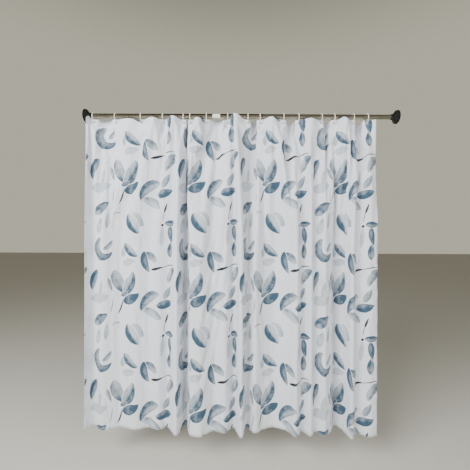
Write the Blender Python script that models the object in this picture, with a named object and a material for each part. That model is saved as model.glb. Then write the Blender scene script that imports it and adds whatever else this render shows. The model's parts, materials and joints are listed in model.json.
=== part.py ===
"""Printed fabric shower curtain, hung by sixteen snap rings on a telescopic tension rod.

Metres, +Z up. The origin is the middle of the left wall pad's wall face, on the rod's axis.
+X runs along the rod to the right wall pad, and the curtain's printed face looks towards -Y.

The curtain is gathered: its line between two rings is longer than the way between them, so each
gap holds one fold, which stands forward (-Y) or back (+Y). All other pieces take their places
from the rings, and the rings take theirs from how much each gap is gathered.
"""

import math

import bmesh
import bpy

# Clearance between pieces that touch.
GAP = 0.0003

# Rod: an outer tube on the left, and an inner tube that slides in it on the right.
TUBE_RADIUS = 0.014
TUBE_WALL = 0.0007
OUTER_TUBE_LENGTH = 1.005
TUBE_OVERLAP = 0.300
TRIM_LENGTH = 0.004

# Twist lock on the inner tube's hidden end.
LOCK_PLUG_LENGTH = 0.025
LOCK_FLANGE_LENGTH = 0.0024
LOCK_PIN_RADIUS = 0.006
LOCK_PIN_OFFSET = 0.0025
LOCK_PIN_LENGTH = 0.019
LOCK_END_LENGTH = 0.003
LOCK_RUNNING_GAP = 0.0007

# Wall ends: a rubber pad on a moulded cap that grips its tube.
PAD_RADIUS = 0.038
PAD_THICKNESS = 0.008
CAP_FLANGE_DEPTH = 0.009
CAP_SHOULDER_RADIUS = 0.022
CAP_SHOULDER_DEPTH = 0.017
CAP_SLEEVE_DEPTH = 0.030
CAP_SLEEVE_WALL = 0.003
CAP_FLOOR = 0.004

# Blank paper label on the front of the outer tube.
LABEL_LENGTH = 0.043
LABEL_FROM_MOUTH = 0.242
LABEL_THICKNESS = 0.0003
LABEL_FROM_DEG = 50
LABEL_TO_DEG = 150

# Curtain, before it is hung: EYELET_PITCH of cloth for each of its eyelets.
EYELET_PITCH = 0.150
CURTAIN_DROP = 1.800
CLOTH_THICKNESS = 0.0008
EYELET_TO_EDGE = 0.017

# How the cloth hangs between each ring and the next: (width as a share of the cloth there, side).
FORWARD, BACK = -1, 1
FOLDS = (
    (0.844, BACK),
    (0.976, FORWARD),
    (0.836, FORWARD),
    (0.783, FORWARD),
    (0.251, BACK),
    (0.627, FORWARD),
    (0.809, BACK),
    (0.771, FORWARD),
    (0.459, BACK),
    (0.901, FORWARD),
    (0.570, BACK),
    (0.878, FORWARD),
    (0.483, BACK),
    (0.726, FORWARD),
    (0.535, BACK),
)
FOLD_FULLNESS = 0.6
FOLD_STEPS = 10
FLAP_STEPS = 5

# The loose edge past the first and the last ring turns forward.
LEFT_FLAP_TURN_DEG, LEFT_FLAP_BEND = 80, 0.020
RIGHT_FLAP_TURN_DEG, RIGHT_FLAP_BEND = 84, 0.015

# Snap rings, each with a narrow mouth at the back. RING_PLAY is how much wider than the tube they are.
RING_PLAY = 0.010
RING_WIRE_RADIUS = 0.0025
RING_MOUTH = 0.002
RING_MOUTH_DEG = 60
RING_STEP_DEG = 15
RING_SIDES = 6

# Eyelets: a spool that grips the cloth round each hole.
EYELET_PLAY = 0.0017
EYELET_BARREL_WALL = 0.0006
EYELET_RIM_WIDTH = 0.0019
EYELET_RIM_THICKNESS = 0.0008
EYELET_SIDES = 12
LANDING_MARGIN = 0.001

# Distance from each wall to the nearest ring.
FIRST_RING_TO_WALL = 0.051
LAST_RING_TO_WALL = 0.177

TUBE_SIDES = 24

# What follows from those sizes.
TUBE_BORE_RADIUS = TUBE_RADIUS - TUBE_WALL
INNER_TUBE_RADIUS = TUBE_BORE_RADIUS - GAP
INNER_BORE_RADIUS = INNER_TUBE_RADIUS - TUBE_WALL
RING_BORE_RADIUS = TUBE_RADIUS + RING_PLAY
EYELET_HOLE_RADIUS = RING_WIRE_RADIUS + EYELET_PLAY
EYELET_BARREL_RADIUS = EYELET_HOLE_RADIUS + EYELET_BARREL_WALL
EYELET_RADIUS = EYELET_HOLE_RADIUS + EYELET_RIM_WIDTH
CLOTH_HOLE_RADIUS = EYELET_BARREL_RADIUS + GAP
LANDING = EYELET_RADIUS + LANDING_MARGIN
RING_CENTRE_Z = TUBE_RADIUS + GAP - RING_BORE_RADIUS
EYELET_Z = RING_CENTRE_Z - RING_BORE_RADIUS + GAP - EYELET_HOLE_RADIUS
TOP_EDGE_Z = EYELET_Z + EYELET_TO_EDGE
BOTTOM_EDGE_Z = TOP_EDGE_Z - CURTAIN_DROP


def ring_places():
    """X of each ring, from the left wall's first one."""
    places = [FIRST_RING_TO_WALL]
    for share, _ in FOLDS:
        places.append(places[-1] + share * EYELET_PITCH)
    return places


RING_X = ring_places()
WALL_TO_WALL = RING_X[-1] + LAST_RING_TO_WALL
TUBE_START = PAD_THICKNESS + CAP_FLOOR + 2 * GAP
MOUTH_X = TUBE_START + OUTER_TUBE_LENGTH


def clear_scene():
    for obj in list(bpy.data.objects):
        bpy.data.objects.remove(obj, do_unlink=True)


def make_material(name, colour, roughness, metallic=0.0):
    material = bpy.data.materials.new(name)
    material.use_nodes = True
    shader = material.node_tree.nodes["Principled BSDF"]
    shader.inputs["Base Color"].default_value = (*colour, 1.0)
    shader.inputs["Roughness"].default_value = roughness
    shader.inputs["Metallic"].default_value = metallic
    material.diffuse_color = (*colour, 1.0)
    return material


def finish_mesh(bm, name, smooth_below_deg=None):
    """Turns bm into a mesh with its faces pointing out, and shades round faces smooth."""
    bmesh.ops.recalc_face_normals(bm, faces=bm.faces)
    mesh = bpy.data.meshes.new(name)
    bm.to_mesh(mesh)
    bm.free()
    if smooth_below_deg:
        mesh.shade_smooth()
        mesh.set_sharp_from_angle(angle=math.radians(smooth_below_deg))
    return mesh


def add_object(name, mesh, material=None, parent=None, location=(0, 0, 0)):
    obj = bpy.data.objects.new(name, mesh)
    bpy.context.scene.collection.objects.link(obj)
    if material and not mesh.materials:
        mesh.materials.append(material)
    obj.parent = parent
    obj.location = location
    return obj


def add_pivot(name, parent=None, location=(0, 0, 0)):
    """An empty on a joint's axis, which carries the pieces that move with that joint."""
    return add_object(name, None, parent=parent, location=location)


def circle_loop(bm, place, radius, sides, across, up, centre=0.0):
    """Vertices round place, in the plane of the unit vectors across and up."""
    loop = []
    for step in range(sides):
        angle = 2 * math.pi * step / sides
        a, b = radius * math.sin(angle), radius * math.cos(angle) + centre
        loop.append(bm.verts.new([p + a * s + b * t for p, s, t in zip(place, across, up)]))
    return loop


def bridge(bm, loops, closed):
    """Quads between each loop and the next, with a cap on each end unless the run is closed."""
    pairs = list(zip(loops, loops[1:]))
    if closed:
        pairs.append((loops[-1], loops[0]))
    for first, second in pairs:
        for a in range(len(first)):
            b = (a + 1) % len(first)
            bm.faces.new((first[a], first[b], second[b], second[a]))
    if not closed:
        bm.faces.new(loops[0])
        bm.faces.new(reversed(loops[-1]))


def turned(name, profile, sides, closed, axis="X"):
    """A body turned round X or Y. profile holds (place along the axis, radius, offset up)."""
    bm = bmesh.new()
    loops = []
    for place, radius, offset in profile:
        at = (place, 0, 0) if axis == "X" else (0, place, 0)
        across = (0, 1, 0) if axis == "X" else (1, 0, 0)
        loops.append(circle_loop(bm, at, radius, sides, across, (0, 0, 1), offset))
    bridge(bm, loops, closed)
    return finish_mesh(bm, name, smooth_below_deg=40)


def tube_mesh(name, start, end, radius, bore):
    section = [(start, bore, 0), (start, radius, 0), (end, radius, 0), (end, bore, 0)]
    return turned(name, section, TUBE_SIDES, closed=True)


def pad_mesh(name, wall, inwards):
    section = [
        (0, PAD_RADIUS),
        (PAD_THICKNESS - 0.002, PAD_RADIUS),
        (PAD_THICKNESS, PAD_RADIUS - 0.002),
    ]
    profile = [(wall + inwards * depth, radius, 0) for depth, radius in section]
    return turned(name, profile, TUBE_SIDES, closed=False)


def cap_mesh(name, wall, inwards, tube_radius):
    """A cup that grips a tube's end, with a domed flange behind the pad."""
    back = PAD_THICKNESS + GAP
    bore = tube_radius + GAP
    sleeve = bore + CAP_SLEEVE_WALL
    floor = PAD_THICKNESS + CAP_FLOOR + GAP
    section = [
        (floor, 0.5 * bore),
        (back, 0.5 * bore),
        (back, PAD_RADIUS - 0.001),
        (CAP_FLANGE_DEPTH + 0.003, PAD_RADIUS - 0.001),
        (CAP_SHOULDER_DEPTH, 0.5 * (PAD_RADIUS + CAP_SHOULDER_RADIUS) + 0.002),
        (CAP_SHOULDER_DEPTH + 0.006, CAP_SHOULDER_RADIUS),
        (CAP_SHOULDER_DEPTH + 0.008, sleeve),
        (PAD_THICKNESS + CAP_SLEEVE_DEPTH, sleeve),
        (PAD_THICKNESS + CAP_SLEEVE_DEPTH, bore),
        (floor, bore),
    ]
    profile = [(wall + inwards * depth, radius, 0) for depth, radius in section]
    return turned(name, profile, TUBE_SIDES, closed=True)


def lock_core_mesh(inner_end):
    """A plug in the inner tube, with a flange, an off-centre pin and an end disc."""
    plug_radius = INNER_BORE_RADIUS - GAP
    disc_radius = TUBE_BORE_RADIUS - LOCK_RUNNING_GAP
    flange_face = inner_end - GAP
    pin_start = flange_face - LOCK_FLANGE_LENGTH
    pin_end = pin_start - LOCK_PIN_LENGTH
    profile = [
        (inner_end + LOCK_PLUG_LENGTH, plug_radius, 0),
        (flange_face, plug_radius, 0),
        (flange_face, disc_radius, 0),
        (pin_start, disc_radius, 0),
        (pin_start, LOCK_PIN_RADIUS, LOCK_PIN_OFFSET),
        (pin_end, LOCK_PIN_RADIUS, LOCK_PIN_OFFSET),
        (pin_end, disc_radius, 0),
        (pin_end - LOCK_END_LENGTH, disc_radius, 0),
    ]
    return turned("lock_core", profile, TUBE_SIDES, closed=False)


def lock_cam_mesh(inner_end):
    """The ring that turns on the off-centre pin and wedges in the outer tube."""
    end = inner_end - LOCK_FLANGE_LENGTH - 2 * GAP
    start = end - LOCK_PIN_LENGTH + 2 * GAP
    outside = TUBE_BORE_RADIUS - LOCK_RUNNING_GAP
    hole = LOCK_PIN_RADIUS + GAP
    profile = [
        (start, hole, LOCK_PIN_OFFSET),
        (start, outside, 0),
        (end, outside, 0),
        (end, hole, LOCK_PIN_OFFSET),
    ]
    return turned("lock_cam", profile, TUBE_SIDES, closed=True)


def label_mesh():
    """A curved plate on the front of the outer tube, clear of where the rings bear."""
    inside = TUBE_RADIUS + GAP
    outside = inside + LABEL_THICKNESS
    end = MOUTH_X - LABEL_FROM_MOUTH
    start = end - LABEL_LENGTH
    bm = bmesh.new()
    loops = []
    steps = 8
    for step in range(steps + 1):
        angle = math.radians(LABEL_FROM_DEG + (LABEL_TO_DEG - LABEL_FROM_DEG) * step / steps)
        y, z = -math.sin(angle), math.cos(angle)
        corners = ((start, inside), (end, inside), (end, outside), (start, outside))
        loops.append([bm.verts.new((x, r * y, r * z)) for x, r in corners])
    bridge(bm, loops, closed=False)
    return finish_mesh(bm, "rod_label", smooth_below_deg=40)


def line_length(points):
    return sum(math.dist(a, b) for a, b in zip(points, points[1:]))


def fold_points(span, length, side):
    """Points of a fold from (0, 0) to (span, 0) whose own line has the given length."""

    def shape(depth):
        points = []
        for step in range(FOLD_STEPS + 1):
            t = step / FOLD_STEPS
            lean = FOLD_FULLNESS * math.sin(2 * math.pi * t) / (2 * math.pi)
            points.append((span * (t - lean), side * depth * (1 - math.cos(2 * math.pi * t)) / 2))
        return points

    shallow, deep = 0.0, length
    for _ in range(40):
        middle = (shallow + deep) / 2
        if line_length(shape(middle)) < length:
            shallow = middle
        else:
            deep = middle
    return shape(shallow)


def flap_points(along, turn_deg, bend):
    """Points of a loose edge, from its ring outwards, that turns forward as it goes."""
    turn = math.radians(turn_deg)
    points = [(0.0, 0.0), (LANDING, 0.0)]
    for step in range(1, FLAP_STEPS + 1):
        angle = turn * step / FLAP_STEPS
        points.append((LANDING + bend * math.sin(angle), -bend * (1 - math.cos(angle))))
    rest = EYELET_PITCH / 2 - LANDING - bend * turn
    x, y = points[-1]
    points.append((x + rest * math.cos(turn), y - rest * math.sin(turn)))
    return [(along * x, y) for x, y in points]


def curtain_line():
    """The curtain's line seen from above: flat at each ring, folded between them."""
    left = flap_points(-1, LEFT_FLAP_TURN_DEG, LEFT_FLAP_BEND)
    line = [(RING_X[0] + x, y) for x, y in reversed(left)]
    for here, after, (_, side) in zip(RING_X, RING_X[1:], FOLDS):
        span = after - here - 2 * LANDING
        fold = fold_points(span, EYELET_PITCH - 2 * LANDING, side)
        line += [(here + LANDING + x, y) for x, y in fold]
    right = flap_points(1, RIGHT_FLAP_TURN_DEG, RIGHT_FLAP_BEND)
    return line + [(RING_X[-1] + x, y) for x, y in right[1:]]


def unit_normals(line):
    """The horizontal unit normal at each point of the line."""
    normals = []
    for index in range(len(line)):
        before = line[max(index - 1, 0)]
        after = line[min(index + 1, len(line) - 1)]
        dx, dy = after[0] - before[0], after[1] - before[1]
        size = math.hypot(dx, dy)
        normals.append((-dy / size, dx / size))
    return normals


def sheet_mesh():
    line = curtain_line()
    half = CLOTH_THICKNESS / 2
    bm = bmesh.new()
    loops = []
    for (x, y), (nx, ny) in zip(line, unit_normals(line)):
        corners = (
            (x - half * nx, y - half * ny, TOP_EDGE_Z),
            (x + half * nx, y + half * ny, TOP_EDGE_Z),
            (x + half * nx, y + half * ny, BOTTOM_EDGE_Z),
            (x - half * nx, y - half * ny, BOTTOM_EDGE_Z),
        )
        loops.append([bm.verts.new(corner) for corner in corners])
    bridge(bm, loops, closed=False)
    return finish_mesh(bm, "curtain_sheet")


def hole_cutter():
    """One round cutter through the top hem at each ring."""
    reach = 5 * CLOTH_THICKNESS
    bm = bmesh.new()
    for ring_x in RING_X:
        ends = [
            circle_loop(
                bm, (ring_x, y, EYELET_Z), CLOTH_HOLE_RADIUS, EYELET_SIDES, (1, 0, 0), (0, 0, 1)
            )
            for y in (-reach, reach)
        ]
        bridge(bm, ends, closed=False)
    cutter = add_object("hole_cutter", finish_mesh(bm, "hole_cutter"))
    cutter.hide_render = True
    cutter.display_type = "WIRE"
    return cutter


def ring_mesh():
    """A C-ring in the YZ plane round its own centre."""
    middle = RING_BORE_RADIUS + RING_WIRE_RADIUS
    trim = math.degrees(RING_MOUTH / 2 / middle)
    turns = [RING_MOUTH_DEG + step for step in range(0, 361, RING_STEP_DEG)]
    turns[0] += trim
    turns[-1] -= trim
    bm = bmesh.new()
    loops = []
    for turn in turns:
        angle = math.radians(turn)
        out = (0, math.sin(angle), math.cos(angle))
        place = [middle * part for part in out]
        loops.append(circle_loop(bm, place, RING_WIRE_RADIUS, RING_SIDES, (1, 0, 0), out))
    bridge(bm, loops, closed=False)
    return finish_mesh(bm, "curtain_ring", smooth_below_deg=65)


def eyelet_mesh():
    """A spool round the hole's own centre, with a rim on each face of the cloth."""
    seat = CLOTH_THICKNESS / 2 + GAP
    face = seat + EYELET_RIM_THICKNESS
    section = [
        (-face, EYELET_HOLE_RADIUS),
        (-face, EYELET_RADIUS),
        (-seat, EYELET_RADIUS),
        (-seat, EYELET_BARREL_RADIUS),
        (seat, EYELET_BARREL_RADIUS),
        (seat, EYELET_RADIUS),
        (face, EYELET_RADIUS),
        (face, EYELET_HOLE_RADIUS),
    ]
    profile = [(place, radius, 0) for place, radius in section]
    return turned("eyelet", profile, EYELET_SIDES, closed=True, axis="Y")


def add_rod():
    """The left half of the rod, which stays, and the right half, which slides."""
    steel = make_material("chromed_steel", (0.62, 0.60, 0.56), 0.28, metallic=1.0)
    moulded = make_material("black_plastic", (0.02, 0.02, 0.022), 0.45)
    rubber = make_material("black_rubber", (0.015, 0.015, 0.015), 0.8)
    lock_plastic = make_material("lock_plastic", (0.75, 0.75, 0.72), 0.5)
    paper = make_material("label_paper", (0.82, 0.80, 0.74), 0.7)

    outer = tube_mesh("outer_tube", TUBE_START, MOUTH_X, TUBE_RADIUS, TUBE_BORE_RADIUS)
    add_object("outer_tube", outer, steel)
    trim_start = MOUTH_X + GAP
    trim = tube_mesh("tube_trim", trim_start, trim_start + TRIM_LENGTH, TUBE_RADIUS, TUBE_BORE_RADIUS)
    add_object("tube_trim", trim, lock_plastic)
    add_object("left_wall_pad", pad_mesh("left_wall_pad", 0, 1), rubber)
    add_object("left_end_cap", cap_mesh("left_end_cap", 0, 1, TUBE_RADIUS), moulded)
    add_object("rod_label", label_mesh(), paper)

    slide = add_pivot("rod_slide", location=(MOUTH_X, 0, 0))
    home = (-MOUTH_X, 0, 0)
    inner_start = MOUTH_X - TUBE_OVERLAP
    inner_end = WALL_TO_WALL - TUBE_START
    inner = tube_mesh("inner_tube", inner_start, inner_end, INNER_TUBE_RADIUS, INNER_BORE_RADIUS)
    add_object("inner_tube", inner, steel, slide, home)
    add_object("lock_core", lock_core_mesh(inner_start), lock_plastic, slide, home)
    add_object("lock_cam", lock_cam_mesh(inner_start), lock_plastic, slide, home)
    right_cap = cap_mesh("right_end_cap", WALL_TO_WALL, -1, INNER_TUBE_RADIUS)
    add_object("right_end_cap", right_cap, moulded, slide, home)
    add_object("right_wall_pad", pad_mesh("right_wall_pad", WALL_TO_WALL, -1), rubber, slide, home)


def add_curtain():
    """The cloth and its sixteen hangers, all carried by a pivot on the rod's axis."""
    cloth = make_material("printed_cloth", (0.80, 0.82, 0.85), 0.85)
    ring_plastic = make_material("ring_plastic", (0.86, 0.85, 0.82), 0.35)
    eyelet_plastic = make_material("eyelet_plastic", (0.80, 0.80, 0.79), 0.4)

    swing = add_pivot("swing")
    sheet = add_object("curtain_sheet", sheet_mesh(), cloth, swing)
    holes = sheet.modifiers.new("eyelet_holes", "BOOLEAN")
    holes.operation = "DIFFERENCE"
    holes.object = hole_cutter()

    ring, eyelet = ring_mesh(), eyelet_mesh()
    for number, ring_x in enumerate(RING_X, start=1):
        hanger = add_pivot(f"hanger_{number:02d}", swing, (ring_x, 0, 0))
        add_object(f"curtain_ring_{number:02d}", ring, ring_plastic, hanger, (0, 0, RING_CENTRE_Z))
        add_object(f"eyelet_{number:02d}", eyelet, eyelet_plastic, hanger, (0, 0, EYELET_Z))


def main():
    clear_scene()
    add_rod()
    add_curtain()


main()
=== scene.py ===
"""Looks for a shower curtain that hangs by sixteen rings on a telescopic tension rod.

Metres, +Z up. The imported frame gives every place: the rings and eyelets, the tubes, the wall ends.
The cloth starts as a wavy sheet, is gathered at its eyelets by a cloth simulation, and is finished
with hems and stitches. Its leaves are painted by a node tree that reads the cloth's own UV map.
"""

import json
import math

import bmesh
import bpy
import numpy as np
from mathutils import Matrix, Vector


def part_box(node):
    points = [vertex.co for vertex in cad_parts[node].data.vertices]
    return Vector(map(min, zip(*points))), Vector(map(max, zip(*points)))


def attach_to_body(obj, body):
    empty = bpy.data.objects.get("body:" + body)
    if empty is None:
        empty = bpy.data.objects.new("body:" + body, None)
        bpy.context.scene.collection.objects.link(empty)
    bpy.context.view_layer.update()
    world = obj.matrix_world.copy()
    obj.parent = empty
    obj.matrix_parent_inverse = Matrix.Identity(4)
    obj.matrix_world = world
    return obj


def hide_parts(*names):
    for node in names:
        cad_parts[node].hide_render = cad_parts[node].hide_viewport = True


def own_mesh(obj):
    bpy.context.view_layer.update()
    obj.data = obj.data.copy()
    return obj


bl_info = {
    "name": "Printed shower curtain",
    "version": (1, 0, 0),
    "blender": (4, 5, 0),
    "location": "3D View > Sidebar > Curtain",
    "description": "Dresses a packed shower curtain and its tension rod",
    "category": "Add Mesh",
}

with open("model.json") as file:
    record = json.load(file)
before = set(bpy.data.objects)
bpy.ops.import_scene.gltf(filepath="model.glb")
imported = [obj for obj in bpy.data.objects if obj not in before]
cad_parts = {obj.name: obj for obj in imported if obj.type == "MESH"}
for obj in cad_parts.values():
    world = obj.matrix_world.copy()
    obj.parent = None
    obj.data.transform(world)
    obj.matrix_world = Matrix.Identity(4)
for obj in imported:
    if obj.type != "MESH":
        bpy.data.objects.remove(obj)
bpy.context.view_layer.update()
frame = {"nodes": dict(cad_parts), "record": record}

RINGS = sorted(name for name in frame["nodes"] if name.startswith("curtain_ring_"))
EYELETS = [name.replace("curtain_ring", "eyelet") for name in RINGS]
HANGERS = [name.replace("curtain_ring", "hanger") for name in RINGS]


def middle(node):
    low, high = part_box(node)
    return (low + high) / 2


RING_X = [middle(name).x for name in RINGS]
EYELET_Z = middle(EYELETS[0]).z
TOP_EDGE_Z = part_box("curtain_sheet")[1].z


# ---------------------------------------------------------------------------------------------
# How the cloth hangs, read along the curtain from its left edge.

FORWARD, BACK = -1, 1

# Between each ring and the next: the fold's side, how far its crest leans towards the right
# ring (0.5 is the middle), and how far the top edge stands above the rings' line, in metres.
TOP_FOLDS = (
    (BACK, 0.50, 0.002),
    (FORWARD, 0.50, 0.000),
    (FORWARD, 0.55, 0.002),
    (FORWARD, 0.50, 0.008),
    (BACK, 0.50, 0.000),
    (FORWARD, 0.50, -0.003),
    (BACK, 0.50, 0.009),
    (FORWARD, 0.38, 0.024),
    (BACK, 0.50, 0.010),
    (FORWARD, 0.50, 0.009),
    (BACK, 0.50, -0.006),
    (FORWARD, 0.50, 0.001),
    (BACK, 0.50, -0.005),
    (FORWARD, 0.52, 0.005),
    (BACK, 0.50, -0.013),
)

# Below the rings the folds run together. Each stretch is (metres of cloth, heading in degrees):
# 0 runs along the rod, and a plus sign turns away from the room.
HANGING_RUNS = (
    (0.06, 60),
    (0.08, -40),
    (0.10, 25),
    (0.10, -20),
    (0.08, 25),
    (0.06, -30),
    (0.06, 30),
    (0.10, -55),
    (0.11, 75),
    (0.11, -75),
    (0.06, -15),
    (0.09, 40),
    (0.07, -25),
    (0.07, 50),
    (0.10, -70),
    (0.09, 75),
    (0.06, -50),
    (0.06, 45),
    (0.07, 20),
    (0.08, -25),
    (0.07, -55),
    (0.07, 60),
    (0.06, -60),
    (0.06, 60),
    (0.06, -60),
    (0.07, 45),
    (0.07, 60),
    (0.05, -60),
    (0.09, -75),
    (0.07, 60),
    (0.07, -35),
    (0.05, 20),
)
# Metres of cloth over which one stretch turns into the next.
RUN_SMOOTHING = 0.020

# How far the cloth beyond the end rings turns, and how far it stands up on the left.
LEFT_FLAP_TURN = math.radians(66)
LEFT_FLAP_LIFT = 0.013
RIGHT_FLAP_TURN = math.radians(-24)


# ---------------------------------------------------------------------------------------------
# Settings that a user would change.


def linear(red, green, blue):
    """A screen colour, 0 to 255, as Blender's linear values."""
    parts = [value / 255 for value in (red, green, blue)]
    return tuple(p / 12.92 if p <= 0.04045 else ((p + 0.055) / 1.055) ** 2.4 for p in parts)


def length(name, description, default):
    return bpy.props.FloatProperty(
        name=name, description=description, default=default, unit="LENGTH", precision=4
    )


def colour(name, description, default):
    return bpy.props.FloatVectorProperty(
        name=name, description=description, default=default, subtype="COLOR", min=0, max=1
    )


class ClothSettings(bpy.types.PropertyGroup):
    width: length("Width", "Cloth from side to side before it is hung", 2.40)
    drop: length("Drop", "Cloth from the top edge to the bottom edge", 1.80)
    edge_to_eyelet: length("Edge to eyelet", "From the top edge to the eyelets' middles", 0.017)
    side_to_eyelet: length("Side to eyelet", "From each side to its nearest eyelet", 0.050)
    hole: length("Hole radius", "Radius of the hole under each eyelet", 0.0050)
    thickness: length("Thickness", "Thickness of one layer of cloth", 0.0004)
    header: length("Header", "Depth of the doubled cloth along the top", 0.032)
    hem: length("Hem", "Depth of the doubled cloth along the bottom", 0.034)
    side_hem: length("Side hem", "Depth of the doubled cloth along each side", 0.011)
    stitch: length("Stitch", "Length of one stitch", 0.0026)
    stitch_pitch: length("Stitch pitch", "From one stitch to the next", 0.0034)
    settle_frames: bpy.props.IntProperty(
        name="Settle frames", description="Steps of the cloth simulation", default=44, min=2
    )


class PrintSettings(bpy.types.PropertyGroup):
    repeat_width: length("Repeat width", "The pattern's repeat across the cloth", 0.60)
    repeat_drop: length("Repeat drop", "The pattern's repeat down the cloth", 0.646)
    start: length("Start", "The first repeat's distance from the left edge", 0.059)
    cloth: colour("Cloth", "Colour of the bare cloth", linear(242, 245, 252))
    deep: colour("Deep leaf", "Colour of the strongest wash", linear(68, 96, 118))
    pale: colour("Pale leaf", "Colour of the weakest wash", linear(158, 176, 188))
    green: colour("Grey-green leaf", "Colour of the greenish washes", linear(150, 172, 172))
    slate: colour("Twig", "Colour of the twigs", linear(34, 44, 54))
    bark: colour("Brown twig", "Colour of the small brown twigs", linear(120, 84, 82))


class FittingSettings(bpy.types.PropertyGroup):
    ring_wire: length("Ring wire", "Radius of a ring's wire", 0.0022)
    ring_mouth: length("Ring mouth", "Gap in each ring, at the back", 0.0020)
    tube_wall: length("Tube wall", "Thickness of both tubes", 0.0007)
    ring_colour: colour("Ring", "Colour of the rings", linear(240, 238, 226))
    eyelet_colour: colour("Eyelet", "Colour of the eyelets", linear(232, 232, 226))
    steel_colour: colour("Steel", "Colour of the tubes", linear(172, 166, 154))
    cap_colour: colour("Cap", "Colour of the end caps", linear(24, 24, 25))
    rubber_colour: colour("Rubber", "Colour of the wall pads", linear(18, 18, 19))
    lock_colour: colour("Lock", "Colour of the twist lock", linear(214, 212, 204))
    paper_colour: colour("Label", "Colour of the blank label", linear(246, 242, 228))


class StageSettings(bpy.types.PropertyGroup):
    distance: length("Camera distance", "From the camera to the curtain", 1.70)
    view_width: length("View width", "What the camera sees across the curtain", 2.705)
    eye: bpy.props.FloatVectorProperty(
        name="Eye", description="Where the camera stands in X and Z", size=2, default=(0.8636, -0.682)
    )
    roll: bpy.props.FloatProperty(
        name="Roll", description="Tilt of the camera", default=math.radians(-0.2), unit="ROTATION"
    )
    floor: length("Floor", "Height of the floor", -2.02)
    backdrop: colour("Backdrop", "Colour of the room", linear(204, 200, 180))


GROUPS = {
    "curtain_cloth": ClothSettings,
    "curtain_print": PrintSettings,
    "curtain_fittings": FittingSettings,
    "curtain_stage": StageSettings,
}


# ---------------------------------------------------------------------------------------------
# Node trees.


def new_material(name):
    """A material, its tree and its Principled shader."""
    material = bpy.data.materials.new(name)
    material.use_nodes = True
    tree = material.node_tree
    return material, tree, tree.nodes["Principled BSDF"]


def plug(tree, socket, value):
    """Links a socket to another one, or sets its value."""
    if isinstance(value, bpy.types.NodeSocket):
        tree.links.new(value, socket)
    else:
        socket.default_value = value


def fill(tree, made, inputs):
    """Sets or links a node's inputs by name or number."""
    for name, value in inputs.items():
        plug(tree, made.inputs[name], value)
    return made


def node(tree, kind, inputs=None, **settings):
    """A node with its settings, and with its inputs set to values or linked to sockets."""
    made = tree.nodes.new(kind)
    for name, value in settings.items():
        setattr(made, name, value)
    return fill(tree, made, inputs or {})


def maths(tree, operation, first, second=0.0, third=0.0):
    inputs = {0: first, 1: second, 2: third}
    return node(tree, "ShaderNodeMath", inputs, operation=operation).outputs[0]


def ramp(tree, value, low, high, to_low=0.0, to_high=1.0):
    """A smooth step of value between low and high."""
    inputs = {"Value": value, "From Min": low, "From Max": high, "To Min": to_low, "To Max": to_high}
    made = node(tree, "ShaderNodeMapRange", inputs, interpolation_type="SMOOTHSTEP", clamp=False)
    return made.outputs["Result"]


def mix(tree, factor, first, second, blend_type="MIX"):
    """first, with second over it by factor."""
    made = node(tree, "ShaderNodeMix", data_type="RGBA", blend_type=blend_type)
    for name, value in (("Factor_Float", factor), ("A_Color", first), ("B_Color", second)):
        plug(tree, next(s for s in made.inputs if s.identifier == name), value)
    return next(s for s in made.outputs if s.identifier == "Result_Color")


def noise(tree, place, scale, detail=3.0, roughness=0.5):
    inputs = {"Vector": place, "Scale": scale, "Detail": detail, "Roughness": roughness}
    return node(tree, "ShaderNodeTexNoise", inputs).outputs["Fac"]


def opaque(rgb):
    return (*rgb, 1.0)


def bumped(tree, shader, height, strength, distance):
    inputs = {"Strength": strength, "Distance": distance, "Height": height}
    made = node(tree, "ShaderNodeBump", inputs)
    tree.links.new(made.outputs["Normal"], shader.inputs["Normal"])


LEAF_INPUTS = (
    ("Across", "NodeSocketFloat"),
    ("Up", "NodeSocketFloat"),
    ("Ground", "NodeSocketColor"),
    ("Paper", "NodeSocketColor"),
    ("Centre across", "NodeSocketFloat"),
    ("Centre up", "NodeSocketFloat"),
    ("Half repeat across", "NodeSocketFloat"),
    ("Half repeat up", "NodeSocketFloat"),
    ("Turn", "NodeSocketFloat"),
    ("Half length", "NodeSocketFloat"),
    ("Half width", "NodeSocketFloat"),
    ("Curl", "NodeSocketFloat"),
    ("Tone", "NodeSocketFloat"),
    ("Half tone", "NodeSocketFloat"),
    ("Along", "NodeSocketFloat"),
    ("Deep", "NodeSocketColor"),
    ("Pale", "NodeSocketColor"),
    ("Wash", "NodeSocketFloat"),
)


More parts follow.
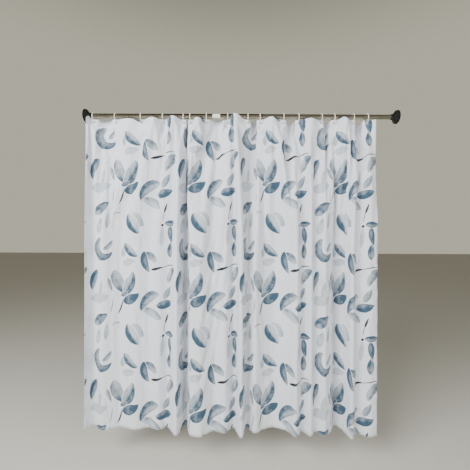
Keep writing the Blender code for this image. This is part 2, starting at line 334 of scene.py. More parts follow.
def leaf_group():
    """A node group that brushes one leaf over the ground colour.

    The leaf lies along an arc of radius Curl. Its tone runs from one side to the other by Half
    tone and from base to tip by Along, and Wash breaks it up as wet paint does."""
    group = bpy.data.node_groups.new("Brushed leaf", "ShaderNodeTree")
    for name, kind in LEAF_INPUTS:
        group.interface.new_socket(name, in_out="INPUT", socket_type=kind)
    group.interface.new_socket("Ground", in_out="OUTPUT", socket_type="NodeSocketColor")
    given = group.nodes.new("NodeGroupInput").outputs

    def do(operation, *values):
        return maths(group, operation, *values)

    def from_centre(place, centre, half_repeat):
        away = do("SUBTRACT", given[place], given[centre])
        return do("WRAP", away, given[half_repeat], do("MULTIPLY", given[half_repeat], -1.0))

    x = from_centre("Across", "Centre across", "Half repeat across")
    y = from_centre("Up", "Centre up", "Half repeat up")
    cosine, sine = do("COSINE", given["Turn"]), do("SINE", given["Turn"])
    forth = do("MULTIPLY_ADD", x, cosine, do("MULTIPLY", y, sine))
    side = do("SUBTRACT", do("MULTIPLY", y, cosine), do("MULTIPLY", x, sine))
    to_hub = do("SUBTRACT", given["Curl"], side)
    radius = do("SQRT", do("MULTIPLY_ADD", forth, forth, do("MULTIPLY", to_hub, to_hub)))
    s = do("DIVIDE", do("SUBTRACT", given["Curl"], radius), given["Half width"])
    arc = do("MULTIPLY", do("ARCTAN2", forth, to_hub), given["Curl"])
    t = do("DIVIDE", arc, given["Half length"])
    off = do("ABSOLUTE", s)
    outline = do("POWER", do("MAXIMUM", do("SUBTRACT", 1.0, do("MULTIPLY", t, t)), 0.0), 0.7)
    inside = do("SUBTRACT", do("MULTIPLY", outline, do("MULTIPLY_ADD", t, -0.22, 1.0)), off)
    tone = do("MULTIPLY_ADD", ramp(group, s, -0.25, 0.3, -0.5, 0.5), given["Half tone"], given["Tone"])
    tone = do("MULTIPLY_ADD", t, given["Along"], do("ADD", tone, 0.10))
    tone = do("MULTIPLY_ADD", do("SUBTRACT", given["Wash"], 0.5), 1.5, tone)
    tone = do("ADD", tone, ramp(group, inside, 0.08, 0.36, 0.20, 0.0))
    veins = do("MULTIPLY_ADD", off, -1.1, do("MULTIPLY", t, 4.0))
    veins = do("ABSOLUTE", do("SUBTRACT", do("FRACT", veins), 0.5))
    tone = do("SUBTRACT", tone, ramp(group, veins, 0.0, 0.12, 0.10, 0.0))
    tone = do("SUBTRACT", tone, ramp(group, off, 0.02, 0.10, 0.10, 0.0))
    tone = do("MINIMUM", do("MAXIMUM", tone, 0.0), 1.0)
    near_leaf = do("LESS_THAN", do("ABSOLUTE", t), 1.05)
    bare_edge = do("MULTIPLY", ramp(group, inside, -0.16, -0.04), near_leaf)
    cover = do("MULTIPLY", ramp(group, inside, 0.0, 0.13), do("MULTIPLY_ADD", tone, 0.52, 0.48))
    cleared = mix(group, bare_edge, given["Ground"], given["Paper"])
    painted = mix(group, cover, cleared, mix(group, tone, given["Pale"], given["Deep"]))
    result = group.nodes.new("NodeGroupOutput")
    group.links.new(painted, result.inputs["Ground"])
    return group


# The pattern's leaves in the order in which they are painted. Each is (paint, centre across and
# centre down in the repeat, heading, half length, half width, curl radius, tone, half tone, along).
# A plus heading turns up from the cloth's width. A minus curl bends the other way.
DRAWN_REPEAT = (0.60, 0.64)
STRAIGHT = 2.0
LEAVES = (
    # Faint washes that lie under the rest.
    ("green", 0.197, 0.120, 85, 0.032, 0.015, STRAIGHT, 0.35, 0.2, 0.0),
    ("pale", 0.448, 0.030, 85, 0.060, 0.013, STRAIGHT, 0.00, 0.1, 0.0),
    ("pale", 0.045, 0.610, 70, 0.050, 0.024, STRAIGHT, 0.05, 0.2, 0.0),
    ("pale", 0.378, 0.474, -24, 0.072, 0.026, -0.30, 0.16, 0.3, 0.1),
    ("green", 0.104, 0.580, 84, 0.046, 0.014, STRAIGHT, 0.40, 0.3, -0.3),
    ("pale", 0.050, 0.390, 10, 0.070, 0.030, 0.30, -0.15, 0.1, 0.0),
    ("pale", 0.235, 0.180, 10, 0.045, 0.022, 0.30, -0.10, 0.1, 0.0),
    ("pale", 0.065, 0.330, 80, 0.050, 0.014, STRAIGHT, 0.05, 0.1, 0.0),
    # Crescent, with a small leaf inside it.
    ("blue", 0.041, 0.132, -48, 0.108, 0.028, 0.055, 0.62, -0.3, 0.22),
    ("pale", 0.112, 0.086, 48, 0.038, 0.013, 0.080, 0.45, 0.3, 0.0),
    # Slanting leaf.
    ("blue", 0.243, 0.116, -40, 0.060, 0.026, 0.160, 0.50, -0.6, 0.0),
    # Hook of two leaves.
    ("blue", 0.370, 0.146, -26, 0.058, 0.023, -0.120, 0.42, 0.3, -0.3),
    ("blue", 0.332, 0.182, -76, 0.066, 0.022, 0.140, 0.80, -0.2, -0.1),
    # Twig with a leaf under it.
    ("pale", 0.508, 0.250, 50, 0.062, 0.026, -0.120, 0.50, -0.4, 0.3),
    ("slate", 0.488, 0.200, 12, 0.062, 0.0028, -0.20, 0.9, 0.0, 0.0),
    ("slate", 0.412, 0.218, 13, 0.042, 0.0080, 0.60, 1.0, 0.0, -0.1),
    # Upright pair.
    ("blue", 0.503, 0.024, -82, 0.052, 0.0205, STRAIGHT, 0.90, 0.2, 0.0),
    ("blue", 0.499, 0.110, 88, 0.045, 0.0225, STRAIGHT, 0.72, 0.3, 0.0),
    # Dark leaf and sliver beside the cup.
    ("blue", -0.002, 0.282, 70, 0.066, 0.024, -0.160, 0.78, 0.4, -0.1),
    ("slate", 0.120, 0.310, -72, 0.042, 0.0100, STRAIGHT, 0.15, 0.3, -0.1),
    # Cup of two leaves on a stem.
    ("pale", 0.168, 0.300, -64, 0.080, 0.034, 0.260, 0.42, -0.3, 0.3),
    ("pale", 0.244, 0.304, 64, 0.078, 0.036, 0.200, 0.52, -0.6, -0.2),
    ("blue", 0.205, 0.366, 30, 0.026, 0.013, STRAIGHT, 0.75, 0.0, 0.0),
    ("slate", 0.185, 0.438, 72, 0.050, 0.0046, 0.30, 1.0, 0.0, -0.2),
    ("slate", 0.135, 0.425, 82, 0.048, 0.0019, 0.60, 0.7, 0.0, -0.4),
    ("blue", 0.252, 0.392, 24, 0.060, 0.030, 0.160, 0.92, -0.1, 0.0),
    # Arch with a leaf to its right.
    ("blue", 0.352, 0.392, 40, 0.084, 0.030, -0.110, 0.58, 0.4, -0.3),
    ("pale", 0.480, 0.358, 57, 0.045, 0.018, STRAIGHT, 0.42, -0.2, 0.0),
    ("blue", 0.466, 0.426, 12, 0.056, 0.026, 0.200, 0.88, -0.2, 0.1),
    # Twig over a small leaf.
    ("slate", 0.474, 0.508, 70, 0.032, 0.0060, STRAIGHT, 1.0, 0.0, 0.1),
    ("slate", 0.459, 0.556, 80, 0.028, 0.0024, STRAIGHT, 0.8, 0.0, 0.0),
    ("slate", 0.453, 0.606, 40, 0.010, 0.0070, STRAIGHT, 0.9, 0.0, 0.0),
    ("blue", 0.507, 0.597, 2, 0.042, 0.0185, 0.30, 0.85, 0.2, 0.0),
    # Broad leaf and the half leaf.
    ("blue", 0.056, 0.510, 33, 0.062, 0.031, STRAIGHT, 0.70, 0.3, 0.1),
    ("bark", 0.145, 0.535, 45, 0.014, 0.0028, STRAIGHT, 0.8, 0.0, 0.0),
    ("bark", 0.166, 0.534, 10, 0.014, 0.0028, STRAIGHT, 0.8, 0.0, 0.0),
    ("pale", 0.292, 0.575, -50, 0.052, 0.030, 0.30, 0.06, 0.2, 0.2),
    ("blue", 0.258, 0.600, -56, 0.070, 0.038, 0.40, 0.32, -1.1, 0.1),
)


def repeating_noise(tree, across, up, scale, detail):
    """Noise that comes round again after each repeat: it is read on two circles, one for each way."""
    radii = [size / (2 * math.pi) for size in DRAWN_REPEAT]
    ring = []
    for place, radius in ((across, radii[0]), (up, radii[1])):
        turn = maths(tree, "DIVIDE", place, radius)
        ring.append(maths(tree, "MULTIPLY", maths(tree, "COSINE", turn), radius))
        ring.append(maths(tree, "MULTIPLY", maths(tree, "SINE", turn), radius))
    place = node(tree, "ShaderNodeCombineXYZ", {0: ring[0], 1: ring[1], 2: ring[2]}).outputs[0]
    inputs = {"Vector": place, "W": ring[3], "Scale": scale, "Detail": detail, "Roughness": 0.6}
    return node(tree, "ShaderNodeTexNoise", inputs, noise_dimensions="4D").outputs["Fac"]


def painted_cloth(tree, fade):
    """The printed pattern's colour, and metres across and up the cloth.

    fade is how much of the colour is lost, as on the cloth's back."""
    paint = bpy.context.scene.curtain_print
    cloth = bpy.context.scene.curtain_cloth
    repeat = (paint.repeat_width, paint.repeat_drop)
    uv = node(tree, "ShaderNodeUVMap", uv_map="Cloth").outputs["UV"]
    wide, high = DRAWN_REPEAT[0] / repeat[0], DRAWN_REPEAT[1] / repeat[1]
    spread = {
        "Location": (-paint.start * wide, -cloth.drop * high, 0.0),
        "Scale": (cloth.width * wide, cloth.drop * high, 1.0),
    }
    metres = node(tree, "ShaderNodeMapping", {"Vector": uv, **spread}).outputs[0]
    parts = node(tree, "ShaderNodeSeparateXYZ", {0: metres}).outputs
    wash = repeating_noise(tree, parts["X"], parts["Y"], 22.0, 2.0)
    grain = repeating_noise(tree, parts["X"], parts["Y"], 190.0, 3.0)
    ragged = maths(tree, "MULTIPLY_ADD", maths(tree, "ADD", wash, grain), 0.0022, -0.0022)
    across = maths(tree, "ADD", parts["X"], ragged)
    up = maths(tree, "MULTIPLY_ADD", ragged, -0.7, parts["Y"])
    paints = {
        "blue": (paint.deep, paint.pale),
        "pale": (paint.deep, paint.pale),
        "green": (paint.green, paint.pale),
        "slate": (paint.slate, paint.deep),
        "bark": (paint.bark, paint.pale),
    }
    group = bpy.data.node_groups.get("Brushed leaf") or leaf_group()
    bare = opaque(paint.cloth)
    colour_now = bare
    for kind, right, down, heading, half_long, half_wide, curl, tone, half_tone, along in LEAVES:
        deep, pale = paints[kind]
        if curl < 0:
            heading, curl, half_tone, along = heading + 180, -curl, -half_tone, -along
        inputs = {
            "Across": across,
            "Up": up,
            "Ground": colour_now,
            "Paper": bare,
            "Centre across": right,
            "Centre up": -down,
            "Half repeat across": DRAWN_REPEAT[0] / 2,
            "Half repeat up": DRAWN_REPEAT[1] / 2,
            "Turn": math.radians(heading),
            "Half length": half_long,
            "Half width": half_wide,
            "Curl": curl,
            "Tone": tone,
            "Half tone": half_tone,
            "Along": along,
            "Deep": opaque(deep),
            "Pale": opaque(pale),
            "Wash": wash,
        }
        made = node(tree, "ShaderNodeGroup", inputs, node_tree=group)
        colour_now = made.outputs["Ground"]
    if fade:
        colour_now = mix(tree, fade, colour_now, bare)
    return colour_now, metres


WEAVE_PITCH = 0.0009


def woven(tree, metres):
    """The height of a plain weave, with a slow unevenness of its threads."""
    parts = node(tree, "ShaderNodeSeparateXYZ", {0: metres}).outputs
    turns = 2 * math.pi / WEAVE_PITCH
    warp = maths(tree, "SINE", maths(tree, "MULTIPLY", parts["X"], turns))
    weft = maths(tree, "SINE", maths(tree, "MULTIPLY", parts["Y"], turns))
    slubs = noise(tree, metres, 900.0, 2.0, 0.6)
    return maths(tree, "MULTIPLY_ADD", maths(tree, "MULTIPLY", warp, weft), 0.5, slubs)


def cloth_material(name, fade):
    """Thin printed cloth: a soft sheen, a little light from behind, and a fine weave."""
    material, tree, shader = new_material(name)
    painted, metres = painted_cloth(tree, fade)
    uneven = noise(tree, metres, 7.0, 4.0, 0.6)
    shade = ramp(tree, uneven, 0.25, 0.75, 0.965, 1.0)
    tinted = node(tree, "ShaderNodeHueSaturation", {"Color": painted, "Value": shade}).outputs[0]
    look = {"Base Color": tinted, "Roughness": 0.72, "Specular IOR Level": 0.35}
    fill(tree, shader, {**look, "Sheen Weight": 0.25, "Sheen Roughness": 0.4})
    bumped(tree, shader, woven(tree, metres), 0.25, 0.0002)
    behind = node(tree, "ShaderNodeBsdfTranslucent", {"Color": tinted})
    both = node(tree, "ShaderNodeMixShader", {0: 0.22, 1: shader.outputs[0], 2: behind.outputs[0]})
    tree.links.new(both.outputs[0], tree.nodes["Material Output"].inputs["Surface"])
    return material


def thread_material():
    """White sewing thread, twisted."""
    material, tree, shader = new_material("Sewing thread")
    place = node(tree, "ShaderNodeTexCoord").outputs["Object"]
    fibres = noise(tree, place, 1800.0, 3.0, 0.6)
    shade = mix(tree, fibres, opaque(linear(214, 216, 220)), opaque(linear(246, 247, 250)))
    fill(tree, shader, {"Base Color": shade, "Roughness": 0.6, "Sheen Weight": 0.3})
    bumped(tree, shader, fibres, 0.3, 0.0001)
    return material


def moulded_material(name, rgb, rough, flecks=0.04, coat=0.0):
    """Injection-moulded plastic: a fine pebbled skin, with slightly uneven gloss."""
    material, tree, shader = new_material(name)
    place = node(tree, "ShaderNodeTexCoord").outputs["Object"]
    cloud = noise(tree, place, 60.0, 4.0, 0.6)
    darker = opaque([part * (1 - flecks) for part in rgb])
    shade = mix(tree, cloud, darker, opaque(rgb))
    gloss = ramp(tree, noise(tree, place, 220.0, 3.0, 0.6), 0.3, 0.7, rough * 0.85, rough * 1.15)
    fill(tree, shader, {"Base Color": shade, "Roughness": gloss})
    fill(tree, shader, {"Coat Weight": coat, "Coat Roughness": 0.2})
    bumped(tree, shader, noise(tree, place, 2600.0, 2.0, 0.5), 0.12, 0.0001)
    return material


def rubber_material(rgb):
    """Black rubber, with dust in its grain."""
    material, tree, shader = new_material("Wall pad rubber")
    place = node(tree, "ShaderNodeTexCoord").outputs["Object"]
    dust = ramp(tree, noise(tree, place, 90.0, 5.0, 0.7), 0.45, 0.8, 0.0, 0.35)
    dusty = opaque(linear(92, 90, 86))
    shade = mix(tree, dust, opaque(rgb), dusty)
    fill(tree, shader, {"Base Color": shade, "Roughness": 0.82})
    bumped(tree, shader, noise(tree, place, 1500.0, 3.0, 0.6), 0.35, 0.0002)
    return material


def steel_material(name, rgb):
    """Polished tube: drawn lines along its length, faint smears, and a few dulled patches."""
    material, tree, shader = new_material(name)
    place = node(tree, "ShaderNodeTexCoord").outputs["Object"]
    stretched = node(tree, "ShaderNodeMapping", {"Vector": place, "Scale": (2.0, 900.0, 900.0)})
    lines = noise(tree, stretched.outputs[0], 1.0, 4.0, 0.6)
    smears = noise(tree, place, 14.0, 5.0, 0.65)
    tarnish = opaque([part * scale for part, scale in zip(rgb, (0.80, 0.76, 0.70))])
    shade = mix(tree, ramp(tree, smears, 0.35, 0.75), opaque(rgb), tarnish)
    rough = maths(tree, "MULTIPLY_ADD", ramp(tree, smears, 0.3, 0.8), 0.16, 0.10)
    fill(tree, shader, {"Base Color": shade, "Metallic": 1.0, "Roughness": rough})
    bumped(tree, shader, lines, 0.06, 0.0002)
    return material


def paper_material(rgb):
    """Coated label paper, a little yellowed in a fine mottle of its fibres."""
    material, tree, shader = new_material("Label paper")
    place = node(tree, "ShaderNodeTexCoord").outputs["Object"]
    fibres = noise(tree, place, 420.0, 5.0, 0.7)
    shade = mix(tree, ramp(tree, fibres, 0.3, 0.7), opaque(rgb), opaque(linear(232, 226, 206)))
    fill(tree, shader, {"Base Color": shade, "Roughness": 0.55})
    bumped(tree, shader, fibres, 0.15, 0.0001)
    return material


# ---------------------------------------------------------------------------------------------
# Modelling helpers.


def start_clean():
    if bpy.context.mode != "OBJECT":
        bpy.ops.object.mode_set(mode="OBJECT")
    bpy.ops.object.select_all(action="DESELECT")


def only(obj):
    start_clean()
    obj.select_set(True)
    bpy.context.view_layer.objects.active = obj


def take_material(obj, material):
    obj.data.materials.clear()
    obj.data.materials.append(material)


def settle(obj, name, material, smooth_deg=35):
    """Names a new piece, puts its place into its mesh and shades it."""
    if bpy.context.mode != "OBJECT":
        bpy.ops.object.mode_set(mode="OBJECT")
    only(obj)
    obj.name = obj.data.name = name
    bpy.ops.object.transform_apply(location=True, rotation=True, scale=True)
    bpy.ops.object.mode_set(mode="EDIT")
    bpy.ops.mesh.select_all(action="SELECT")
    bpy.ops.mesh.normals_make_consistent(inside=False)
    bpy.ops.object.mode_set(mode="OBJECT")
    bpy.ops.object.shade_smooth_by_angle(angle=math.radians(smooth_deg))
    take_material(obj, material)
    return obj


def attach(piece, body, nodes=()):
    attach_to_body(piece, body)
    if nodes:
        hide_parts(*nodes)
    return piece


def lathe(stations, segments=48, closed=True):
    """A piece turned round the world's X axis.

    A circle is drawn out from station to station, each (place along X, radius). A closed section
    comes back to where it started, and an open one gets a lid on each end."""
    start_clean()
    x, radius = stations[0]
    bpy.ops.mesh.primitive_circle_add(
        vertices=segments, radius=radius, location=(x, 0, 0), rotation=(0, math.pi / 2, 0)
    )
    obj = bpy.context.object
    bpy.ops.object.transform_apply(location=True, rotation=True, scale=True)
    bpy.ops.object.mode_set(mode="EDIT")
    bpy.ops.mesh.select_all(action="SELECT")
    if not closed:
        bpy.ops.mesh.edge_face_add()
        bpy.ops.mesh.select_all(action="SELECT")
    run = stations[1:] + (stations[:1] if closed else [])
    for next_x, next_radius in run:
        move = {"value": (next_x - x, 0, 0)}
        if closed:
            bpy.ops.mesh.extrude_edges_move(TRANSFORM_OT_translate=move)
        else:
            bpy.ops.mesh.extrude_region_move(TRANSFORM_OT_translate=move)
        scale = next_radius / radius
        if abs(scale - 1) > 1e-9:
            bpy.ops.transform.resize(value=(1, scale, scale), center_override=(next_x, 0, 0))
        x, radius = next_x, next_radius
    if closed:
        bpy.ops.mesh.select_all(action="SELECT")
        bpy.ops.mesh.remove_doubles(threshold=1e-6)
    bpy.ops.object.mode_set(mode="OBJECT")
    return obj


def rounded(stations, radius, steps=3):
    """A closed section with each of its corners rounded by an arc."""
    done = []
    count = len(stations)
    for i in range(count):
        before, here, after = (Vector(stations[(i + k) % count]) for k in (-1, 0, 1))
        back, forth = before - here, after - here
        cut = min(radius, 0.45 * back.length, 0.45 * forth.length)
        first, last = here + back.normalized() * cut, here + forth.normalized() * cut
        for step in range(steps + 1):
            t = step / steps
            point = (1 - t) ** 2 * first + 2 * t * (1 - t) * here + t * t * last
            done.append((point.x, point.y))
    return done


def added(name, data):
    """A new object of that data, in the scene."""
    made = bpy.data.objects.new(name, data)
    bpy.context.scene.collection.objects.link(made)
    return made


def copied(obj, name, place):
    """A copy with its own mesh, moved to place in its mesh."""
    mesh = obj.data.copy()
    mesh.transform(Matrix.Translation(place))
    mesh.name = name
    return added(name, mesh)


# ---------------------------------------------------------------------------------------------
# The cloth's lines, seen from above.

FINE = 0.00125


def eased(t):
    t = np.clip(t, 0, 1)
    return t * t * (3 - 2 * t)


def leaned(t, lean):
    """Moves the middle of 0 to 1 over to lean."""
    return t ** (math.log(0.5) / math.log(lean))


def headings_for(cloth, span, side, lean, steps):
    """Headings along a fold of that much cloth, from one ring to the next, that land on both."""
    t = (np.arange(steps) + 0.5) / steps
    from_ring = np.minimum(t, 1 - t)
    wave = np.sin(2 * np.pi * leaned(t, lean))
    wave = side * np.sign(wave) * np.abs(wave) ** 0.8 * eased((from_ring - 0.04) / 0.08)
    sway = np.sin(np.pi * t)

    def drift(swing, tilt):
        return np.sin(swing * wave + tilt * sway).mean()

    def closed(swing):
        low, high = -1.2, 1.2
        for _ in range(36):
            tilt = (low + high) / 2
            low, high = (tilt, high) if drift(swing, tilt) < 0 else (low, tilt)
        return swing * wave + tilt * sway

    low, high = 0.0, 2.3
    for _ in range(36):
        swing = (low + high) / 2
        too_wide = np.cos(closed(swing)).mean() > span / cloth
        low, high = (swing, high) if too_wide else (low, swing)
    return closed(swing)


def smoothed(values, reach):
    count = max(1, round(reach / FINE))
    kernel = np.hanning(2 * count + 3)[1:-1]
    padded = np.pad(values, count, mode="edge")
    return np.convolve(padded, kernel / kernel.sum(), "valid")


def walk(headings, start, step=FINE):
    """Points of a line that takes one step along each heading."""
    steps = np.stack([np.cos(headings), np.sin(headings)], 1) * step
    return np.vstack([[0, 0], np.cumsum(steps, 0)]) + np.array(start)


# The sheet's columns: from each side to the nearest eyelet, and from one eyelet to the next.
FLAP_COLUMNS, GAP_COLUMNS, COLUMN_STEPS = 4, 12, 10


def eyelet_pitch(settings):
    return (settings.width - 2 * settings.side_to_eyelet) / (len(RINGS) - 1)


def gathered_line(settings):
    """The line through the eyelets, one point for each column, and the top edge's lift there."""
    flap, gap = FLAP_COLUMNS * COLUMN_STEPS, GAP_COLUMNS * COLUMN_STEPS
    flap_step, gap_step = settings.side_to_eyelet / flap, eyelet_pitch(settings) / gap
    t = (np.arange(flap) + 0.5) / flap
    turned = eased((1 - t - 0.12) / 0.30)
    first = walk(LEFT_FLAP_TURN * turned, (0, 0), flap_step)
    points = [first - first[-1] + np.array((RING_X[0], 0))]
    rise = np.arange(flap + 1) / flap
    lifts = [LEFT_FLAP_LIFT * np.sin(np.pi * np.clip(rise + 0.12, 0, 1)) ** 2]
    for i, (side, lean, lift) in enumerate(TOP_FOLDS):
        span = RING_X[i + 1] - RING_X[i]
        headings = headings_for(eyelet_pitch(settings), span, side, lean, gap)
        points.append(walk(headings, (RING_X[i], 0), gap_step)[1:])
        t = (np.arange(gap) + 1) / gap
        lifts.append(lift * np.sin(np.pi * leaned(t, lean)) ** 2)
    right = RIGHT_FLAP_TURN * turned[::-1]
    points.append(walk(right, (RING_X[-1], 0), flap_step)[1:])
    lifts.append(np.zeros(flap))
    return np.vstack(points)[::COLUMN_STEPS], np.concatenate(lifts)[::COLUMN_STEPS]


def column_places(settings):
    """How far each column lies from the cloth's left side."""
    pitch, side = eyelet_pitch(settings), settings.side_to_eyelet
    places = [side * i / FLAP_COLUMNS for i in range(FLAP_COLUMNS)]
    steps = GAP_COLUMNS * (len(RINGS) - 1)
    places += [side + pitch * i / GAP_COLUMNS for i in range(steps)]
    places += [settings.width - side * i / FLAP_COLUMNS for i in range(FLAP_COLUMNS, -1, -1)]
    return np.array(places)


def hanging_line(width):
    """The line of the folds below, seen from above."""
    count = round(width / FINE)
    along = (np.arange(count) + 0.5) * FINE
    ends = np.cumsum([cloth for cloth, _ in HANGING_RUNS])
    which = np.minimum(np.searchsorted(ends, along), len(HANGING_RUNS) - 1)
    headings = np.radians([HANGING_RUNS[i][1] for i in which])
    return walk(smoothed(headings, RUN_SMOOTHING), (0, 0))


# The sheet's rows: millimetres from the top edge where the folds are tight, then even steps.
TOP_ROWS = (0, 8.5, 17, 25.5, 34, 44, 56, 70, 86, 104, 124, 146, 170)
LOWER_ROWS = 51


def coarse_rows(drop):
    """How far each row of the simulated sheet lies below the top edge."""
    top = [mm / 1000 for mm in TOP_ROWS]
    return np.array(top + list(np.linspace(top[-1], drop, LOWER_ROWS + 1)[1:]))


# The cloth is held down to GATHER_BAND, and has its hanging folds from FREE_TO down.
GATHER_BAND = 0.034
FREE_TO = 0.60


def grid_mesh(name, points):
    """A mesh of a grid of points, row by row."""
    rows, columns = points.shape[:2]
    faces = [
        (r * columns + c, (r + 1) * columns + c, (r + 1) * columns + c + 1, r * columns + c + 1)
        for r in range(rows - 1)
        for c in range(columns - 1)
    ]
    mesh = bpy.data.meshes.new(name)
    mesh.from_pydata(points.reshape(-1, 3).tolist(), [], faces)
    return mesh


# Blender's cloth settings. They stand for thin polyester that hangs still.
CLOTH_PHYSICS = {
    "quality": 6,
    "mass": 0.08,
    "tension_stiffness": 30,
    "compression_stiffness": 30,
    "shear_stiffness": 12,
    "bending_stiffness": 0.4,
    "tension_damping": 12,
    "compression_damping": 12,
    "shear_damping": 12,
    "bending_damping": 1.0,
    "air_damping": 3.0,
    "vertex_group_mass": "Held",
    "pin_stiffness": 1.0,
}


def simulated(start, hung, downs, settings):
    """The sheet after its held top band has been drawn from start to hung and the rest has settled."""
    sheet = added("cloth_start", grid_mesh("cloth_start", start))
    sheet.shape_key_add(name="Basis")
    gathered = sheet.shape_key_add(name="Gathered")
    gathered.data.foreach_set("co", hung.astype(np.float32).ravel())
    for value, frame_number in ((0.0, 1), (1.0, settings.settle_frames // 2)):
        gathered.value = value
        gathered.keyframe_insert("value", frame=frame_number)

    hold = sheet.vertex_groups.new(name="Held")
    columns = start.shape[1]
    for r, down in enumerate(downs):
        if down <= GATHER_BAND:
            weight = 1.0
        else:
            weight = 0.012 + 0.25 * float(np.clip((down - 0.25) / (FREE_TO - 0.25), 0, 1)) ** 2
        hold.add(list(range(r * columns, (r + 1) * columns)), weight, "REPLACE")
    cloth = sheet.modifiers.new("Cloth", "CLOTH")
    for name, value in CLOTH_PHYSICS.items():
        setattr(cloth.settings, name, value)
    cloth.settings.effector_weights.gravity = 0.35
    cloth.collision_settings.use_collision = False
    cloth.collision_settings.use_self_collision = False
    cloth.point_cache.frame_start = 1
    cloth.point_cache.frame_end = settings.settle_frames
    for step in range(1, settings.settle_frames + 1):
        bpy.context.scene.frame_set(step)
    graph = bpy.context.evaluated_depsgraph_get()
    settled = sheet.evaluated_get(graph).to_mesh()
    points = np.zeros(len(settled.vertices) * 3, np.float32)
    settled.vertices.foreach_get("co", points)
    bpy.data.objects.remove(sheet)
    bpy.context.scene.frame_set(1)
    return points.reshape(start.shape).astype(float)


def gathered_sheet(settings):
    """Rows and columns of points of the hung cloth.

    The sheet starts with the folds it has further down, along its whole drop. A simulation then
    draws its top band to the line through the eyelets, and the cloth between settles."""
    downs = coarse_rows(settings.drop)
    alongs = column_places(settings)
    top_line, lift = gathered_line(settings)
    line = hanging_line(settings.width)
    fine = np.linspace(0, settings.width, len(line))
    low_line = np.stack([np.interp(alongs, fine, line[:, i]) for i in (0, 1)], 1)
    heights = TOP_EDGE_Z - downs
    start = np.zeros((len(downs), len(low_line), 3))
    start[:, :, :2] = low_line
    start[:, :, 2] = heights[:, None]
    hung = start.copy()
    blend = eased((downs - GATHER_BAND) / (FREE_TO - GATHER_BAND))[:, None, None]
    hung[:, :, :2] = (1 - blend) * top_line + blend * low_line
    hung[:, :, 2] += (1 - blend[:, :, 0]) ** 2 * lift

    hung = simulated(start, hung, downs, settings)
    return hung, alongs, downs


def doubled(points, axis):
    """Twice as many rows or columns, on a smooth curve through the given ones."""
    points = np.moveaxis(points, axis, 0)
    before = np.concatenate([2 * points[:1] - points[1:2], points[:-1]])
    after = np.concatenate([points[1:], 2 * points[-1:] - points[-2:-1]])
    beyond = np.concatenate([after[1:], 2 * after[-1:] - points[-1:]])
    halves = (9 * (points + after) - before - beyond) / 16
    done = np.empty((2 * len(points) - 1, *points.shape[1:]))
    done[0::2] = points
    done[1::2] = halves[:-1]
    return np.moveaxis(done, 0, axis)


class Drape:
    """The finished cloth as a grid, which hems and stitches follow."""

    def __init__(self, points, alongs, downs, settings):
        self.points = doubled(doubled(points, 0), 1)
        self.downs = doubled(downs[:, None], 0)[:, 0]
        self.alongs = doubled(alongs[:, None], 0)[:, 0]
        self.crease(settings)
        self.normals = self.face_back()

    def face_back(self):
        """Unit normals that point to the curtain's back."""
        across = np.gradient(self.points, axis=1)
        down = np.gradient(self.points, axis=0)
        normals = np.cross(across, down)
        return normals / np.linalg.norm(normals, axis=2, keepdims=True)

    def crease(self, settings):
        """Soft ripples down the cloth, and short pulls that fan out below each eyelet."""
        u, v = np.meshgrid(self.alongs, self.downs)
        normals = self.face_back()
        ripple = np.zeros_like(u)
        rng = np.random.default_rng(7)
        for _ in range(26):
            wave = rng.uniform(0.035, 0.14)
            slant = rng.uniform(-0.05, 0.05)
            drop = rng.uniform(0.5, 1.6)
            phase, phase_down = rng.uniform(0, 2 * np.pi, 2)
            size = rng.uniform(0.2, 1.0) * wave
            ripple += size * np.sin(2 * np.pi * (u + slant * v) / wave + phase) * (
                0.6 + 0.4 * np.sin(2 * np.pi * v / drop + phase_down)
            )
        ripple *= 0.0032 * np.clip((v - 0.05) / 0.30, 0, 1)
        pitch = eyelet_pitch(settings)
        nearest = np.clip(np.round((u - settings.side_to_eyelet) / pitch), 0, len(RINGS) - 1)
        across = u - settings.side_to_eyelet - nearest * pitch
        below = v - settings.edge_to_eyelet
        angle = np.arctan2(across, np.maximum(below, 1e-4))
        reach = np.hypot(across, below)
        pulls = np.cos(9 * angle) * np.clip(1 - reach / 0.075, 0, 1)
        pulls = pulls * np.clip((reach - 0.012) / 0.02, 0, 1)
        ripple += 0.0011 * pulls * (below > 0)
        self.points = self.points + normals * ripple[:, :, None]

    def at(self, u, v, lift=0.0):
        """Points on the cloth at those distances along and down, lifted off it towards the back."""
        u, v = np.atleast_1d(u).astype(float), np.atleast_1d(v).astype(float)
        column = np.interp(u, self.alongs, np.arange(len(self.alongs)))
        row = np.interp(v, self.downs, np.arange(len(self.downs)))
        c = np.minimum(column.astype(int), len(self.alongs) - 2)
        r = np.minimum(row.astype(int), len(self.downs) - 2)
        fc, fr = (column - c)[:, None], (row - r)[:, None]

        def mixed(grid):
            upper = grid[r, c] * (1 - fc) + grid[r, c + 1] * fc
            lower = grid[r + 1, c] * (1 - fc) + grid[r + 1, c + 1] * fc
            return upper * (1 - fr) + lower * fr

        normal = mixed(self.normals)
        normal /= np.linalg.norm(normal, axis=1, keepdims=True)
        return mixed(self.points) + normal * np.reshape(lift, (-1, 1)), normal


# The cloth operator leaves its Drape here under "cloth", for the hems and the stitches.
DRAPE = {}


def row_of(downs, down):
    """Which row of the cloth lies that far down."""
    return list(np.round(downs, 5)).index(round(down, 5))


def cut_holes(mesh, columns, row, settings):
    """Opens the cloth round each eyelet: the four cells there go, and the rim takes a circle."""
    bm = bmesh.new()
    bm.from_mesh(mesh)
    bm.verts.ensure_lookup_table()
    places = [2 * (FLAP_COLUMNS + GAP_COLUMNS * k) for k in range(len(RINGS))]
    centres = [bm.verts[row * columns + place] for place in places]
    for near in centres:
        rim = {other for face in near.link_faces for other in face.verts if other != near}
        for vert in rim:
            vert.co = near.co + (vert.co - near.co).normalized() * settings.hole
    for near in centres:
        bm.verts.remove(near)
    bm.to_mesh(mesh)
    bm.free()


